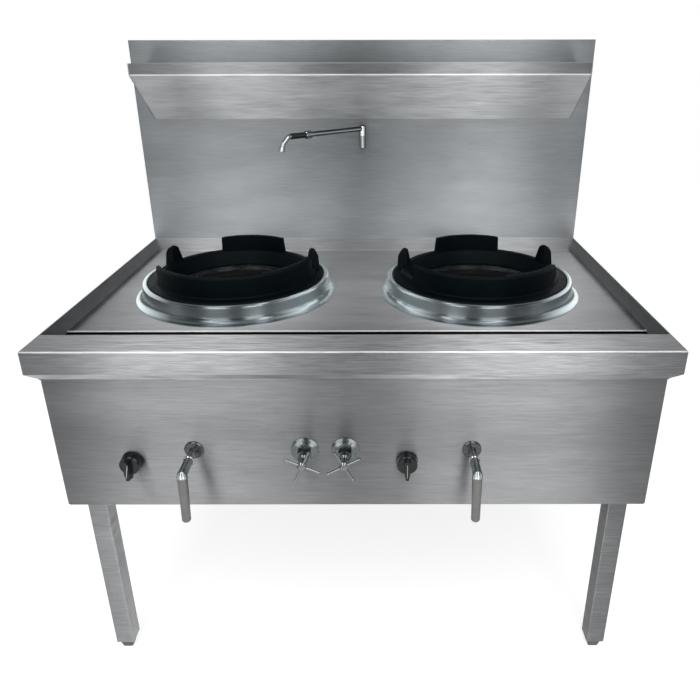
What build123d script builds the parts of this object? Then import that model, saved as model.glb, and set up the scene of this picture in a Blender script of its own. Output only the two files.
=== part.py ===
from build123d import *

import os
from math import cos, radians, sin

# Two-burner wok range: a stainless table with a sunk deck, a splashback with a
# shelf, two cast-iron wok rings over lined burner chambers, gas levers, pilot
# knobs, water taps and a swing faucet.
#
# Frame: origin on the floor under the middle of the whole object, X to the
# right, Y to the back, Z up. All lengths are in millimetres.

# Driving dimensions of the table
WIDTH = 1200.0
DEPTH = 800.0
HEIGHT = 1300.0
WORK_HEIGHT = 780.0
SHEET = 2.0
BEND = 3.0
SPLASH_DEPTH = 20.0
SPLASH_SKIRT = 105.0
PANEL_SETBACK = 20.0
BODY_HEIGHT = 284.0
RETURN_FLANGE = 30.0

# Rim, deck and gutter
RIM_WIDTH = 80.0
SIDE_RIM = 4.0
FASCIA = 45.6
SKIRT_DROP = 17.4
SKIRT_FLANGE = 16.0
DECK_SINK = 37.0
DECK_BACK = 184.0
DECK_LIP = 8.0
GUTTER_SLOPE = 18.0
GUTTER_TAPER = 8.0
DRAIN_X = 450.0
DRAIN_RADIUS = 22.5
DRAIN_TAIL = 330.0

# Wells, and the chamber, lining and collar around each
WELL_SPACING = 575.0
WELL_SHIFT = -6.0
WELL_BACK = 435.0
DECK_HOLE = 206.0
CHAMBER_RADIUS = 204.0
CHAMBER_FLANGE = 222.0
CHAMBER_LEDGE = 150.0
CHAMBER_DROP = 235.0
LINING_DROP = 62.0
LINING_MOUTH = 118.0
COLLAR_FOOT = 234.0
COLLAR_WALL = 217.0
COLLAR_STEP = 204.5
COLLAR_THROAT = 196.0
COLLAR_RISE = 4.0
COLLAR_SEAT = -3.0
COLLAR_SLEEVE = 10.0
COLLAR_RADII = (14.0, 6.0, 4.0, 2.5, 3.0)

# Wok rings: angles are counted from the X axis, heights from the rim top
RING_FLANGE = 203.0
RING_WALL = 184.0
LUG_HEIGHT = 55.0
BACK_LUG_SPAN = 55.0
SIDE_LUG_ANGLES = (18.6, 161.4)
SIDE_LUG_LENGTH = 40.0
RING_TURN = {"left": -4.0, "right": 4.0}
WALL_SPAN = {"left": (211.0, 300.0, 350.0), "right": (209.0, 280.0, 328.0)}

# Burners
BURNER_RADIUS = 100.0
BURNER_DROP = 222.0
BURNER_HEIGHT = 24.0
MIXER_RADIUS = 19.0
MIXER_DROP = 270.0
MIXER_LENGTH = 250.0
JET_FLATS = 12.0
JET_HEIGHT = 16.0
JET_CIRCLES = ((34.0, 6), (70.0, 12))
BRACKET_DROP = 290.0
BRACKET_HALF = 160.0
BRACKET_WIDTH = 40.0
BRACKET_SHEET = 4.0

# Shelf on the splashback, heights from the rim top
SHELF_WIDTH = 1110.0
SHELF_REACH = 153.0
SHELF_TOP = 467.0
SHELF_LIP = 26.0
SHELF_FOOT = 326.0

# Legs, feet and rails
TUBE = 40.0
TUBE_WALL = 2.0
LEG_OUTSIDE = 560.0
PLATE_HEIGHT = 20.0
FOOT_HEIGHT = 22.0
FOOT_TOP = 32.0
FOOT_BASE = 22.0
FOOT_CORNER = 3.0
STEM_RADIUS = 6.0
STEM_LENGTH = 50.0
BRACE_BACK = (188.0, 660.0)
BRACE_WIDTH = 20.0

# Clearances, and the width of the search for edges at a known place
TOUCH = 0.01
RUNNING_GAP = 0.05
FREE_GAP = 0.3

# Controls on the front panel: places to the right of the middle and below the rim top
LEVER_X = {"left": -313.0, "right": 225.5}
LEVER_DROP = 217.0
LEVER_REACH = 93.1
LEVER_SLEEVE = 34.0
LEVER_ELBOW = 84.0
LEVER_LENGTH = 96.0
LEVER_RADIUS = 9.2
LEVER_TIP = 8.4
LEVER_NECK = 7.5
KNOB_X = {"left": -434.0, "right": 100.0}
KNOB_DROP = 240.0
KNOB_RADIUS = 21.0
KNOB_DEPTH = 20.0
KNOB_TURN = {"left": -12.0, "right": 0.0}
KNOB_GAP = 4.0
KNOB_SHAFT = 3.0
TAP_X = {"left": -98.0, "right": -19.5}
TAP_DROP = 219.0
TAP_ANGLE = {"left": -24.0, "right": 29.0}
TAP_HUB = 55.0
TAP_REACH = 35.0
TAP_THREAD = 11.0
SPINDLE_RADIUS = 5.0

# Pipework behind the front panel
VALVE_BACK = 32.0
PORT_BACK = 62.0
MANIFOLD_DROP = 300.0
MANIFOLD_RADIUS = 16.8
MANIFOLD_WALL = 3.0
MANIFOLD_X = (-455.0, 265.0)
GAS_INLET_X = 40.0
GAS_INLET_RADIUS = 13.5
WATER_DROP = 262.0
WATER_RADIUS = 8.0
WATER_HEADER = 9.5
WATER_STUB = 12.0
WATER_INLET_X = -58.0
RISER_RADIUS = 6.5
INLET_END = 5.0
THREAD_LENGTH = 15.0
THREAD_DEPTH = 0.4
SUPPLY_RADIUS = 7.0
PILOT_RADIUS = 3.0
PILOT_OFFSET = 77.0

# Rear panel and its bolts
BOLT_X = (-500.0, -300.0, -100.0, 100.0, 300.0, 500.0)
BOLT_DROP = 85.0
BOLT_RADIUS = 4.0
BOLT_FLATS = 13.0
VENT_LENGTH = 90.0
VENT_WIDTH = 10.0
VENT_PITCH = (110.0, 30.0)

# Swing faucet, heights from the rim top
FAUCET_OUT = 36.0
FAUCET_BODY = (252.0, 287.0)
FAUCET_CAP = 314.5
FAUCET_STUB = 266.0
FAUCET_RISE = 305.0
FAUCET_ANGLE = 226.0
FAUCET_RADIUS = 7.8
ARM_RADIUS = 6.3
SPOUT_RADIUS = 5.5
NUT_START = 177.0
GRIP_START = 197.0
GRIP_END = 241.0
SPOUT_BENDS = ((6.0, 0.0), (24.0, 16.0), (30.0, 33.0))
NOZZLE_LENGTH = 12.0
NOZZLE_RADIUS = 6.8

# Places worked out from the driving dimensions
FRONT = (LEVER_REACH + LEVER_TIP - PANEL_SETBACK - DEPTH) / 2
REAR = FRONT + DEPTH
SPLASH = REAR - SPLASH_DEPTH
PANEL = FRONT + PANEL_SETBACK
RIM = WORK_HEIGHT
HALF = WIDTH / 2
BODY = HALF - PANEL_SETBACK
DECK = RIM - DECK_SINK
DECK_FRONT = FRONT + DECK_BACK
SKIRT = RIM - FASCIA - SKIRT_DROP
BODY_TOP = SKIRT - SHEET
BODY_LOW = BODY_TOP - BODY_HEIGHT
WELL_Y = FRONT + WELL_BACK
WELL_X = {"left": WELL_SHIFT - WELL_SPACING / 2, "right": WELL_SHIFT + WELL_SPACING / 2}
VALVE_Y = PANEL + VALVE_BACK
PORT_Y = PANEL + PORT_BACK
GUTTER_MID = (FRONT + RIM_WIDTH + DECK_FRONT) / 2
TUBE_BORE = TUBE - 2 * TUBE_WALL
LEG_FRONT = PANEL + SHEET + RETURN_FLANGE
LEG_REAR = SPLASH - SHEET - RETURN_FLANGE
LEG_X = {"left": -LEG_OUTSIDE, "right": LEG_OUTSIDE - TUBE}
LEG_Y = {"front": LEG_FRONT, "rear": LEG_REAR - TUBE}
RISER_Y = REAR - 11.0
FAUCET_Y = SPLASH - FAUCET_OUT
UPWARD = (0, 0, 1)
FORWARD = (0, -1, 0)
BACKWARD = (0, 1, 0)

os.makedirs("parts", exist_ok=True)


def save(piece, name):
    """Label a finished piece and write it."""
    piece.label = name
    export_step(piece, f"parts/{name}.step")


def below(drop):
    """Height of a point that lies so far under the rim top."""
    return RIM - drop


def above(rise):
    """Height of a point that lies so far over the rim top."""
    return RIM + rise


def block(x, y, z, mode=Mode.ADD):
    """Box between two values on each axis, for the part that is open."""
    with Locations(((x[0] + x[1]) / 2, (y[0] + y[1]) / 2, (z[0] + z[1]) / 2)):
        Box(x[1] - x[0], y[1] - y[0], z[1] - z[0], mode=mode)


def level(half_width, y, z):
    """Level rectangle as wide on both sides of the middle, at height z."""
    with BuildSketch(Plane.XY.offset(z)) as sketch:
        with Locations((0, (y[0] + y[1]) / 2)):
            Rectangle(2 * half_width, y[1] - y[0])
    return sketch.sketch


def folded(points, plane, side=Side.LEFT, bends=BEND, thickness=SHEET):
    """Section of a sheet bent along the points, with its thickness on one side of them."""
    with BuildSketch(plane) as sketch:
        with BuildLine():
            FilletPolyline(*points, radius=bends)
            offset(amount=thickness, side=side, kind=Kind.INTERSECTION)
        make_face()
    return sketch.sketch


def profile(points, plane, bends=0.0):
    """Closed section through the points, with rounded corners between the ends."""
    with BuildSketch(plane) as sketch:
        with BuildLine():
            if bends:
                FilletPolyline(*points, radius=bends)
                Line(points[-1], points[0])
            else:
                Polyline(*points, close=True)
        make_face()
    return sketch.sketch


def cut_apart(solid, *planes):
    """Solids that planes leave of one solid."""
    solids = [solid]
    for plane in planes:
        solids = [side for each in solids for side in split(each, plane, Keep.BOTH).solids()]
    return solids


def turned(outline, origin, direction, arc=360.0, start=0.0, mode=Mode.ADD):
    """Revolve an outline of (radius, distance) points about an axis."""
    along = Vector(direction).normalized()
    radial = Vector(1, 0, 0) if abs(along.X) < 0.5 else Vector(0, 1, 0)
    radial = (radial - along * radial.dot(along)).normalized()
    radial = radial.rotate(Axis((0, 0, 0), along), start)
    section = profile(outline, Plane(origin, x_dir=radial, z_dir=radial.cross(along)))
    revolve(section, axis=Axis(origin, along), revolution_arc=arc, mode=mode)


def rod(start, end, radius, mode=Mode.ADD):
    """Round bar from one point to another."""
    along = Vector(end) - Vector(start)
    with BuildSketch(Plane(start, z_dir=along)) as section:
        Circle(radius)
    extrude(section.sketch, amount=along.length, mode=mode)


def hexagon(start, end, flats, bore=0.0):
    """Hexagonal bar from one point to another, measured across its flats."""
    along = Vector(end) - Vector(start)
    with BuildSketch(Plane(start, z_dir=along)) as section:
        RegularPolygon(flats / 2, 6, major_radius=False)
        if bore:
            Circle(bore, mode=Mode.SUBTRACT)
    extrude(section.sketch, amount=along.length)


def pipe(points, radius, bend):
    """Round bar along straight runs joined by arcs."""
    with BuildLine() as route:
        FilletPolyline(*points, radius=bend)
    start = Vector(points[0])
    with BuildSketch(Plane(start, z_dir=Vector(points[1]) - start)) as section:
        Circle(radius)
    sweep(section.sketch, path=route.wire())


def inlet_run(x, z, radius, bore):
    """Pipe from under the valves to a threaded end behind the rear panel."""
    thread_start = (x, REAR - INLET_END - THREAD_LENGTH, z)
    end = (x, REAR - INLET_END, z)
    rod((x, VALVE_Y, z), thread_start, radius)
    rod(thread_start, end, radius - THREAD_DEPTH)
    rod((x, VALVE_Y, z), end, bore, Mode.SUBTRACT)


def polar(centre, radius, angle, z):
    """Point at an angle round a vertical axis."""
    turn = radians(angle)
    return (centre[0] + radius * cos(turn), centre[1] + radius * sin(turn), z)


# ---------------------------------------------------------------- table

# Top frame: front rim with a bent lip, narrow side rims, fascia and tapered skirt
with BuildPart() as top_frame:
    fascia_low = below(FASCIA)
    extrude(level(HALF, (FRONT, SPLASH), fascia_low), amount=FASCIA)
    loft(
        [
            level(HALF, (FRONT, SPLASH), fascia_low),
            level(BODY + SHEET, (PANEL - SHEET, SPLASH), SKIRT),
        ]
    )
    inner = level(HALF - SHEET, (FRONT + SHEET, SPLASH), fascia_low)
    extrude(inner, amount=FASCIA, mode=Mode.SUBTRACT)
    loft([inner, level(BODY, (PANEL, SPLASH), SKIRT)], mode=Mode.SUBTRACT)
    extrude(level(BODY + SHEET, (PANEL - SHEET, SPLASH), BODY_TOP), amount=SHEET)
    ledge_in = level(
        BODY + SHEET - SKIRT_FLANGE, (PANEL - SHEET + SKIRT_FLANGE, SPLASH), BODY_TOP
    )
    extrude(ledge_in, amount=SHEET, mode=Mode.SUBTRACT)
    lip_y = FRONT + RIM_WIDTH
    lip = [(lip_y, DECK - DECK_LIP), (lip_y, RIM), (FRONT, RIM)]
    extrude(folded(lip, Plane.YZ), amount=HALF - SHEET, both=True)
    for side in (-1, 1):
        edge = sorted((side * HALF, side * (HALF - SIDE_RIM)))
        block(edge, (FRONT, SPLASH), (RIM - SHEET, RIM))
    rim_edges = top_frame.edges().filter_by_position(Axis.Z, RIM - TOUCH, RIM + TOUCH)
    bent = rim_edges.filter_by_position(Axis.Y, FRONT - TOUCH, FRONT + TOUCH)
    bent += rim_edges.group_by(Axis.X)[0] + rim_edges.group_by(Axis.X)[-1]
    upright = top_frame.edges().filter_by(Axis.Z)
    bent += upright.filter_by_position(Axis.Y, FRONT - TOUCH, FRONT + TOUCH)
    fillet(bent, BEND)
save(top_frame.part, "top_frame")

# Deck pan: floor with a front lip, side and rear upstands and two burner holes
with BuildPart() as deck_pan:
    pan_x = HALF - SIDE_RIM
    deck_line = [
        (DECK_FRONT, DECK - DECK_LIP),
        (DECK_FRONT, DECK),
        (SPLASH - SHEET, DECK),
        (SPLASH - SHEET, RIM),
    ]
    extrude(folded(deck_line, Plane.YZ, Side.RIGHT), amount=pan_x, both=True)
    for side in (-1, 1):
        edge = sorted((side * pan_x, side * (HALF - SHEET)))
        block(edge, (FRONT + RIM_WIDTH, SPLASH), (DECK - DECK_LIP, RIM - SHEET))
    for x in WELL_X.values():
        with Locations((x, WELL_Y, DECK)):
            Hole(DECK_HOLE, depth=SHEET)
save(deck_pan.part, "deck_pan")

# Gutter tray behind the front rim: tapered, with a flange around its mouth
with BuildPart() as front_gutter:
    tray_top = DECK - DECK_LIP
    mouth_x = HALF - 3 * SHEET
    mouth_y = (FRONT + RIM_WIDTH + SHEET, DECK_FRONT - SHEET)
    floor_x = mouth_x - GUTTER_SLOPE
    floor_y = (mouth_y[0] + GUTTER_TAPER, mouth_y[1] - GUTTER_TAPER)
    flange_y = (mouth_y[0] - 2 * SHEET, mouth_y[1] + 2 * SHEET)
    loft([level(mouth_x, mouth_y, tray_top), level(floor_x, floor_y, SKIRT)])
    extrude(level(mouth_x + SHEET, flange_y, tray_top), amount=-SHEET)
    inside = [
        level(mouth_x - SHEET, (mouth_y[0] + SHEET, mouth_y[1] - SHEET), tray_top),
        level(floor_x - SHEET, (floor_y[0] + SHEET, floor_y[1] - SHEET), SKIRT + SHEET),
    ]
    loft(inside, mode=Mode.SUBTRACT)
    with Locations((DRAIN_X, GUTTER_MID, SKIRT + SHEET)):
        Hole(DRAIN_RADIUS, depth=SHEET)
    with Locations((TAP_X["right"], GUTTER_MID, SKIRT + SHEET)):
        Hole(WATER_RADIUS, depth=SHEET)

# The tray is welded from a floor, two ends and two long walls
tray = ShapeList(cut_apart(front_gutter.part, Plane.XY.offset(SKIRT + SHEET))).sort_by(Axis.Z)
weld = floor_x - SHEET
walls = cut_apart(tray[-1], Plane.YZ.offset(-weld), Plane.YZ.offset(weld))
save(Compound(children=[tray[0], *walls]), "front_gutter")

# Front panel: folded at its foot, with holes for the controls
with BuildPart() as front_panel:
    panel_line = [
        (PANEL, BODY_TOP),
        (PANEL, BODY_LOW),
        (LEG_FRONT, BODY_LOW),
    ]
    extrude(folded(panel_line, Plane.YZ), amount=BODY - SHEET, both=True)
    for side in (-1, 1):
        edge = sorted((side * BODY, side * (BODY - SHEET)))
        block(edge, (PANEL, PANEL + SHEET), (BODY_LOW + BEND, BODY_TOP))
    openings = [(x, LEVER_DROP, LEVER_RADIUS) for x in LEVER_X.values()]
    openings += [(x, KNOB_DROP, 2 * KNOB_SHAFT) for x in KNOB_X.values()]
    openings += [(x, TAP_DROP, TAP_THREAD + FREE_GAP) for x in TAP_X.values()]
    for x, drop, radius in openings:
        z = below(drop)
        rod((x, PANEL, z), (x, PANEL + SHEET, z), radius, Mode.SUBTRACT)
save(front_panel.part, "front_panel")

# Side panels, folded inwards at the foot between the front and rear legs
for name, side in (("left", -1), ("right", 1)):
    with BuildPart() as side_panel:
        side_line = [
            (side * LEG_OUTSIDE, BODY_LOW),
            (side * BODY, BODY_LOW),
            (side * BODY, BODY_TOP),
        ]
        inward = Side.LEFT if side > 0 else Side.RIGHT
        section = folded(side_line, Plane.XZ.offset(-LEG_FRONT), inward)
        extrude(section, amount=LEG_FRONT - LEG_REAR)
        wall = sorted((side * BODY, side * (BODY - SHEET)))
        block(wall, (PANEL + SHEET, SPLASH - SHEET), (BODY_LOW + BEND, BODY_TOP))
    save(side_panel.part, f"side_panel_{name}")

# Rear panel: folded at its foot, with vent slots and holes for pipes and bolts
with BuildPart() as rear_panel:
    rear_line = [(SPLASH, BODY_TOP), (SPLASH, BODY_LOW), (LEG_REAR, BODY_LOW)]
    extrude(folded(rear_line, Plane.YZ, Side.RIGHT), amount=BODY - SHEET, both=True)
    for side in (-1, 1):
        edge = sorted((side * BODY, side * (BODY - SHEET)))
        block(edge, (SPLASH - SHEET, SPLASH), (BODY_LOW + BEND, BODY_TOP))
    openings = [(x, BOLT_DROP, BOLT_RADIUS) for x in BOLT_X]
    openings += [(GAS_INLET_X, MANIFOLD_DROP, GAS_INLET_RADIUS)]
    openings += [(WATER_INLET_X, WATER_DROP, WATER_RADIUS)]
    for x, drop, radius in openings:
        z = below(drop)
        rod((x, SPLASH, z), (x, SPLASH - SHEET, z), radius + FREE_GAP, Mode.SUBTRACT)
    with BuildSketch(Plane.XZ.offset(-SPLASH)) as cuts:
        for x in WELL_X.values():
            with Locations((x, below(CHAMBER_DROP))):
                with GridLocations(*VENT_PITCH, 3, 4):
                    SlotOverall(VENT_LENGTH, VENT_WIDTH)
        with Locations((0, BODY_TOP)):
            Rectangle(4 * RISER_RADIUS, SPLASH_SKIRT, align=(Align.CENTER, Align.MAX))
    extrude(cuts.sketch, amount=SHEET, mode=Mode.SUBTRACT)
save(rear_panel.part, "rear_panel")

# Splashback: deep-edged pan, open at the back
with BuildPart() as splashback:
    splash_low = below(SPLASH_SKIRT)
    block((-HALF, HALF), (SPLASH, REAR), (splash_low, HEIGHT))
    fillet(splashback.faces().sort_by(Axis.Y)[0].edges().sort_by(Axis.Z)[1:], BEND)
    offset(amount=-SHEET, openings=splashback.faces().sort_by(Axis.Y)[-1])
    openings = [(x, below(BOLT_DROP), BOLT_RADIUS) for x in BOLT_X]
    openings += [(0, above(FAUCET_STUB), ARM_RADIUS)]
    for x, z, radius in openings:
        rod((x, SPLASH, z), (x, SPLASH + SHEET, z), radius + FREE_GAP, Mode.SUBTRACT)
    riser_foot = (0, RISER_Y, splash_low)
    riser_hole = (0, RISER_Y, splash_low + SHEET)
    rod(riser_foot, riser_hole, RISER_RADIUS + FREE_GAP, Mode.SUBTRACT)
save(splashback.part, "splashback")

# Rear cover that closes the splashback between its edges
with BuildPart() as rear_cover:
    cover_y = (REAR - 2 * SHEET, REAR - SHEET)
    block((SHEET - HALF, HALF - SHEET), cover_y, (splash_low + SHEET, HEIGHT - SHEET))
save(rear_cover.part, "rear_cover")

# Bolts and nuts that join the splashback to the rear panel
with BuildPart() as splashback_bolts:
    nut = SPLASH + SHEET
    for x in BOLT_X:
        z = below(BOLT_DROP)
        hexagon((x, SPLASH - SHEET - 5, z), (x, SPLASH - SHEET, z), BOLT_FLATS)
        rod((x, SPLASH - SHEET - 1, z), (x, nut + 8, z), BOLT_RADIUS)
        hexagon((x, nut, z), (x, nut + 6, z), BOLT_FLATS, BOLT_RADIUS + RUNNING_GAP)
save(splashback_bolts.part, "splashback_bolts")

# Shelf: flat top, upright lip and a sloped underside back to the splashback
shelf_line = [
    (SPLASH, above(SHELF_TOP)),
    (SPLASH - SHELF_REACH, above(SHELF_TOP)),
    (SPLASH - SHELF_REACH, above(SHELF_TOP - SHELF_LIP)),
    (SPLASH, above(SHELF_FOOT)),
]
with BuildPart() as shelf:
    shelf_half = SHELF_WIDTH / 2 - SHEET
    extrude(folded(shelf_line, Plane.YZ), amount=shelf_half, both=True)
    outer = profile(shelf_line, Plane.YZ, BEND)
    extrude(outer, amount=shelf_half, both=True, mode=Mode.INTERSECT)
save(shelf.part, "shelf")

# Plates that close the two ends of the shelf
with BuildPart() as shelf_end_caps:
    for x in (-SHELF_WIDTH / 2, SHELF_WIDTH / 2 - SHEET):
        extrude(profile(shelf_line, Plane.YZ.offset(x), BEND), amount=SHEET)
save(shelf_end_caps.part, "shelf_end_caps")

# Legs: square tubes with a threaded plate in the bottom end, each over a tapered foot
for end, y in LEG_Y.items():
    for name, x in LEG_X.items():
        corner = (x + TUBE / 2, y + TUBE / 2)
        with BuildPart() as leg:
            with BuildSketch(Plane.XY.offset(FOOT_HEIGHT)) as tube:
                with Locations(corner):
                    RectangleRounded(TUBE, TUBE, BEND)
                    RectangleRounded(TUBE_BORE, TUBE_BORE, BEND - TUBE_WALL, mode=Mode.SUBTRACT)
            extrude(tube.sketch, amount=BODY_TOP - FOOT_HEIGHT)
            with BuildSketch(Plane.XY.offset(FOOT_HEIGHT)) as plate:
                with Locations(corner):
                    Rectangle(TUBE - TUBE_WALL, TUBE - TUBE_WALL)
                    Circle(STEM_RADIUS + RUNNING_GAP, mode=Mode.SUBTRACT)
            extrude(plate.sketch, amount=PLATE_HEIGHT)
        save(leg.part, f"leg_{end}_{name}")

        with BuildPart() as foot:
            with BuildSketch(Plane.XY) as base:
                with Locations(corner):
                    RectangleRounded(FOOT_BASE, FOOT_BASE, FOOT_CORNER)
            with BuildSketch(Plane.XY.offset(FOOT_HEIGHT)) as shoulder:
                with Locations(corner):
                    RectangleRounded(FOOT_TOP, FOOT_TOP, FOOT_CORNER)
            loft([base.sketch, shoulder.sketch])
            stem_top = FOOT_HEIGHT + STEM_LENGTH
            rod((*corner, FOOT_HEIGHT - 1), (*corner, stem_top), STEM_RADIUS)
        save(foot.part, f"foot_{end}_{name}")

# Rails under the deck: a tube on each side and two folded braces across them
with BuildPart() as support_rails:
    for x in LEG_X.values():
        with BuildSketch(Plane.XZ.offset(-LEG_FRONT - TUBE)) as tube:
            with Locations((x + TUBE / 2, BODY_TOP - TUBE / 2)):
                RectangleRounded(TUBE, TUBE, BEND)
                RectangleRounded(TUBE_BORE, TUBE_BORE, BEND - TUBE_WALL, mode=Mode.SUBTRACT)
        extrude(tube.sketch, amount=LEG_FRONT + 2 * TUBE - LEG_REAR)
    for back in BRACE_BACK:
        y = FRONT + back
        brace_line = [
            (y, BODY_TOP),
            (y, DECK - SHEET),
            (y + BRACE_WIDTH, DECK - SHEET),
            (y + BRACE_WIDTH, BODY_TOP),
        ]
        extrude(folded(brace_line, Plane.YZ, Side.RIGHT), amount=LEG_OUTSIDE, both=True)
save(support_rails.part, "support_rails")

# ---------------------------------------------------------------- wells and burners

# Outlines of the cast ring: (radius, height over the rim top)
RING_OUTLINE = [
    (RING_WALL - 9, COLLAR_SEAT + FREE_GAP),
    (RING_FLANGE, COLLAR_SEAT + FREE_GAP),
    (RING_FLANGE, 2.0),
    (RING_FLANGE - 2, 4.0),
    (RING_WALL + 2, 7.0),
    (RING_WALL, 13.0),
    (RING_WALL - 4, 17.0),
    (RING_WALL - 13, 16.0),
    (RING_WALL - 21, 4.0),
    (RING_WALL - 30, -16.0),
    (RING_WALL - 31, -21.0),
    (RING_WALL - 25, -22.0),
    (RING_WALL - 14, -4.0),
]
WALL_OUTLINE = [
    (RING_WALL - 12, 10.0),
    (RING_WALL + 1, 9.0),
    (RING_WALL + 1, LUG_HEIGHT - 5),
    (RING_WALL - 2, LUG_HEIGHT - 1),
    (RING_WALL - 6, LUG_HEIGHT),
    (RING_WALL - 10, LUG_HEIGHT - 4),
]
PAD_OUTLINE = [
    (RING_WALL - 22, 6.0),
    (RING_WALL + 1, 9.0),
    (RING_WALL + 1, LUG_HEIGHT - 4),
    (RING_WALL - 3, LUG_HEIGHT + 1),
    (RING_WALL - 13, LUG_HEIGHT + 1),
    (RING_WALL - 18, LUG_HEIGHT - 4),
]
BACK_LUG_OUTLINE = [
    (RING_WALL - 15, 10.0),
    (RING_WALL + 2, 9.0),
    (RING_WALL - 1, LUG_HEIGHT + 1),
    (RING_WALL - 11, LUG_HEIGHT + 1),
]
SIDE_LUG_OUTLINE = [
    (RING_WALL - 17, 4.0),
    (RING_WALL + 11, 6.0),
    (RING_WALL + 10, LUG_HEIGHT - 16),
    (RING_WALL + 4, LUG_HEIGHT - 4),
    (RING_WALL - 2, LUG_HEIGHT),
    (RING_WALL - 8, LUG_HEIGHT - 5),
]

# Back lug: arc of wall under a slightly domed top
with BuildPart() as back_lug:
    turned(BACK_LUG_OUTLINE, (0, 0, 0), UPWARD, BACK_LUG_SPAN, -BACK_LUG_SPAN / 2)
    half_chord = RING_WALL * sin(radians(BACK_LUG_SPAN / 2))
    with BuildSketch(Plane.YZ) as dome:
        with BuildLine():
            left = (-half_chord + 5, LUG_HEIGHT - 5)
            right = (half_chord - 5, LUG_HEIGHT - 5)
            ThreePointArc(left, (0, LUG_HEIGHT - 2.5), right)
            Polyline(right, (half_chord, 0), (-half_chord, 0), left)
        make_face()
    extrude(dome.sketch, amount=RING_FLANGE, mode=Mode.INTERSECT)

# Side lug: tapered block with a rounded crown
with BuildPart() as side_lug:
    across = profile(SIDE_LUG_OUTLINE, Plane.XZ)
    extrude(across, amount=SIDE_LUG_LENGTH / 2, both=True)
    half_lug = SIDE_LUG_LENGTH / 2
    with BuildSketch(Plane.YZ) as along:
        with BuildLine():
            left = (-half_lug + 7, LUG_HEIGHT - 12)
            right = (half_lug - 7, LUG_HEIGHT - 12)
            ThreePointArc(left, (0, LUG_HEIGHT), right)
            Polyline(right, (half_lug, 0), (-half_lug, 0), left)
        make_face()
    extrude(along.sketch, amount=RING_FLANGE, mode=Mode.INTERSECT)

# Wok rings: cast flange with a funnel lip, a raised front wall and three lugs
for name, x in WELL_X.items():
    turn = RING_TURN[name]
    wall_start, pad_start, wall_end = WALL_SPAN[name]
    with BuildPart() as wok_ring:
        origin = (x, WELL_Y, RIM)
        turned(RING_OUTLINE, origin, UPWARD)
        turned(WALL_OUTLINE, origin, UPWARD, pad_start - wall_start, wall_start)
        turned(PAD_OUTLINE, origin, UPWARD, wall_end - pad_start, pad_start)
        add(back_lug.part.moved(Location(origin, (0, 0, 90 + turn))))
        for angle in SIDE_LUG_ANGLES:
            add(side_lug.part.moved(Location(origin, (0, 0, angle + turn))))
    save(wok_ring.part, f"wok_ring_{name}")

for name, x in WELL_X.items():
    centre = (x, WELL_Y, 0)

    # Burner chamber: drum with a flange under the deck and a ledge for the lining
    with BuildPart() as burner_chamber:
        drum_top = DECK - SHEET
        drum_low = below(CHAMBER_DROP)
        turned(
            [
                (CHAMBER_RADIUS - SHEET, drum_top),
                (CHAMBER_FLANGE, drum_top),
                (CHAMBER_FLANGE, drum_top - SHEET),
                (CHAMBER_RADIUS, drum_top - SHEET),
                (CHAMBER_RADIUS, drum_low),
                (CHAMBER_LEDGE, drum_low),
                (CHAMBER_LEDGE, drum_low + SHEET),
                (CHAMBER_RADIUS - SHEET, drum_low + SHEET),
            ],
            centre,
            UPWARD,
        )
    save(burner_chamber.part, f"burner_chamber_{name}")

    # Refractory lining: funnel that stands on the ledge
    with BuildPart() as chamber_lining:
        lining_out = CHAMBER_RADIUS - SHEET - FREE_GAP
        lining_low = drum_low + SHEET
        lining_top = below(LINING_DROP)
        turned(
            [
                (LINING_MOUTH, lining_low),
                (lining_out, lining_low),
                (lining_out, lining_top),
                (lining_out - 12, lining_top),
                (LINING_MOUTH, lining_low + 20),
            ],
            centre,
            UPWARD,
        )
    save(chamber_lining.part, f"chamber_lining_{name}")

    # Collar: polished sheet ring with a flared foot, a rounded top and a step for the ring
    with BuildPart() as collar:
        collar_line = [
            (x + COLLAR_FOOT, DECK + SHEET),
            (x + COLLAR_WALL, DECK + SHEET),
            (x + COLLAR_WALL, above(COLLAR_RISE)),
            (x + COLLAR_STEP, above(COLLAR_RISE)),
            (x + COLLAR_STEP, above(COLLAR_SEAT)),
            (x + COLLAR_THROAT, above(COLLAR_SEAT)),
            (x + COLLAR_THROAT, DECK - COLLAR_SLEEVE),
        ]
        section = folded(collar_line, Plane.XZ.offset(-WELL_Y), Side.RIGHT, COLLAR_RADII)
        revolve(section, axis=Axis(centre, UPWARD))
    save(collar.part, f"collar_{name}")

    # Burner: cast bowl on a foot, with the mixing tube and its bell mouth
    with BuildPart() as burner:
        bowl_top = below(BURNER_DROP)
        bowl_foot = below(BRACKET_DROP)
        turned(
            [
                (0, bowl_foot),
                (34, bowl_foot),
                (36, bowl_foot + 28),
                (BURNER_RADIUS, bowl_top - BURNER_HEIGHT),
                (BURNER_RADIUS, bowl_top - 4),
                (BURNER_RADIUS - 4, bowl_top),
                (0, bowl_top),
            ],
            centre,
            UPWARD,
        )
        tube_end = MIXER_LENGTH - 20
        turned(
            [
                (26, 0),
                (30, 0),
                (30, 6),
                (MIXER_RADIUS, 45),
                (MIXER_RADIUS, tube_end),
                (0, tube_end),
                (0, tube_end - 20),
                (MIXER_RADIUS - 5, tube_end - 20),
                (MIXER_RADIUS - 5, 42),
            ],
            (x, WELL_Y - MIXER_LENGTH, below(MIXER_DROP)),
            BACKWARD,
        )
    save(burner.part, f"burner_{name}")

# Jets: hexagonal nozzles in circles on both burners
with BuildPart() as burner_jets:
    for x in WELL_X.values():
        with BuildSketch(Plane.XY.offset(below(BURNER_DROP))) as nozzles:
            with Locations((x, WELL_Y)):
                RegularPolygon(JET_FLATS / 2, 6, major_radius=False)
                for radius, count in JET_CIRCLES:
                    with PolarLocations(radius, count):
                        RegularPolygon(JET_FLATS / 2, 6, major_radius=False)
        extrude(nozzles.sketch, amount=JET_HEIGHT)
save(burner_jets.part, "burner_jets")

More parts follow.
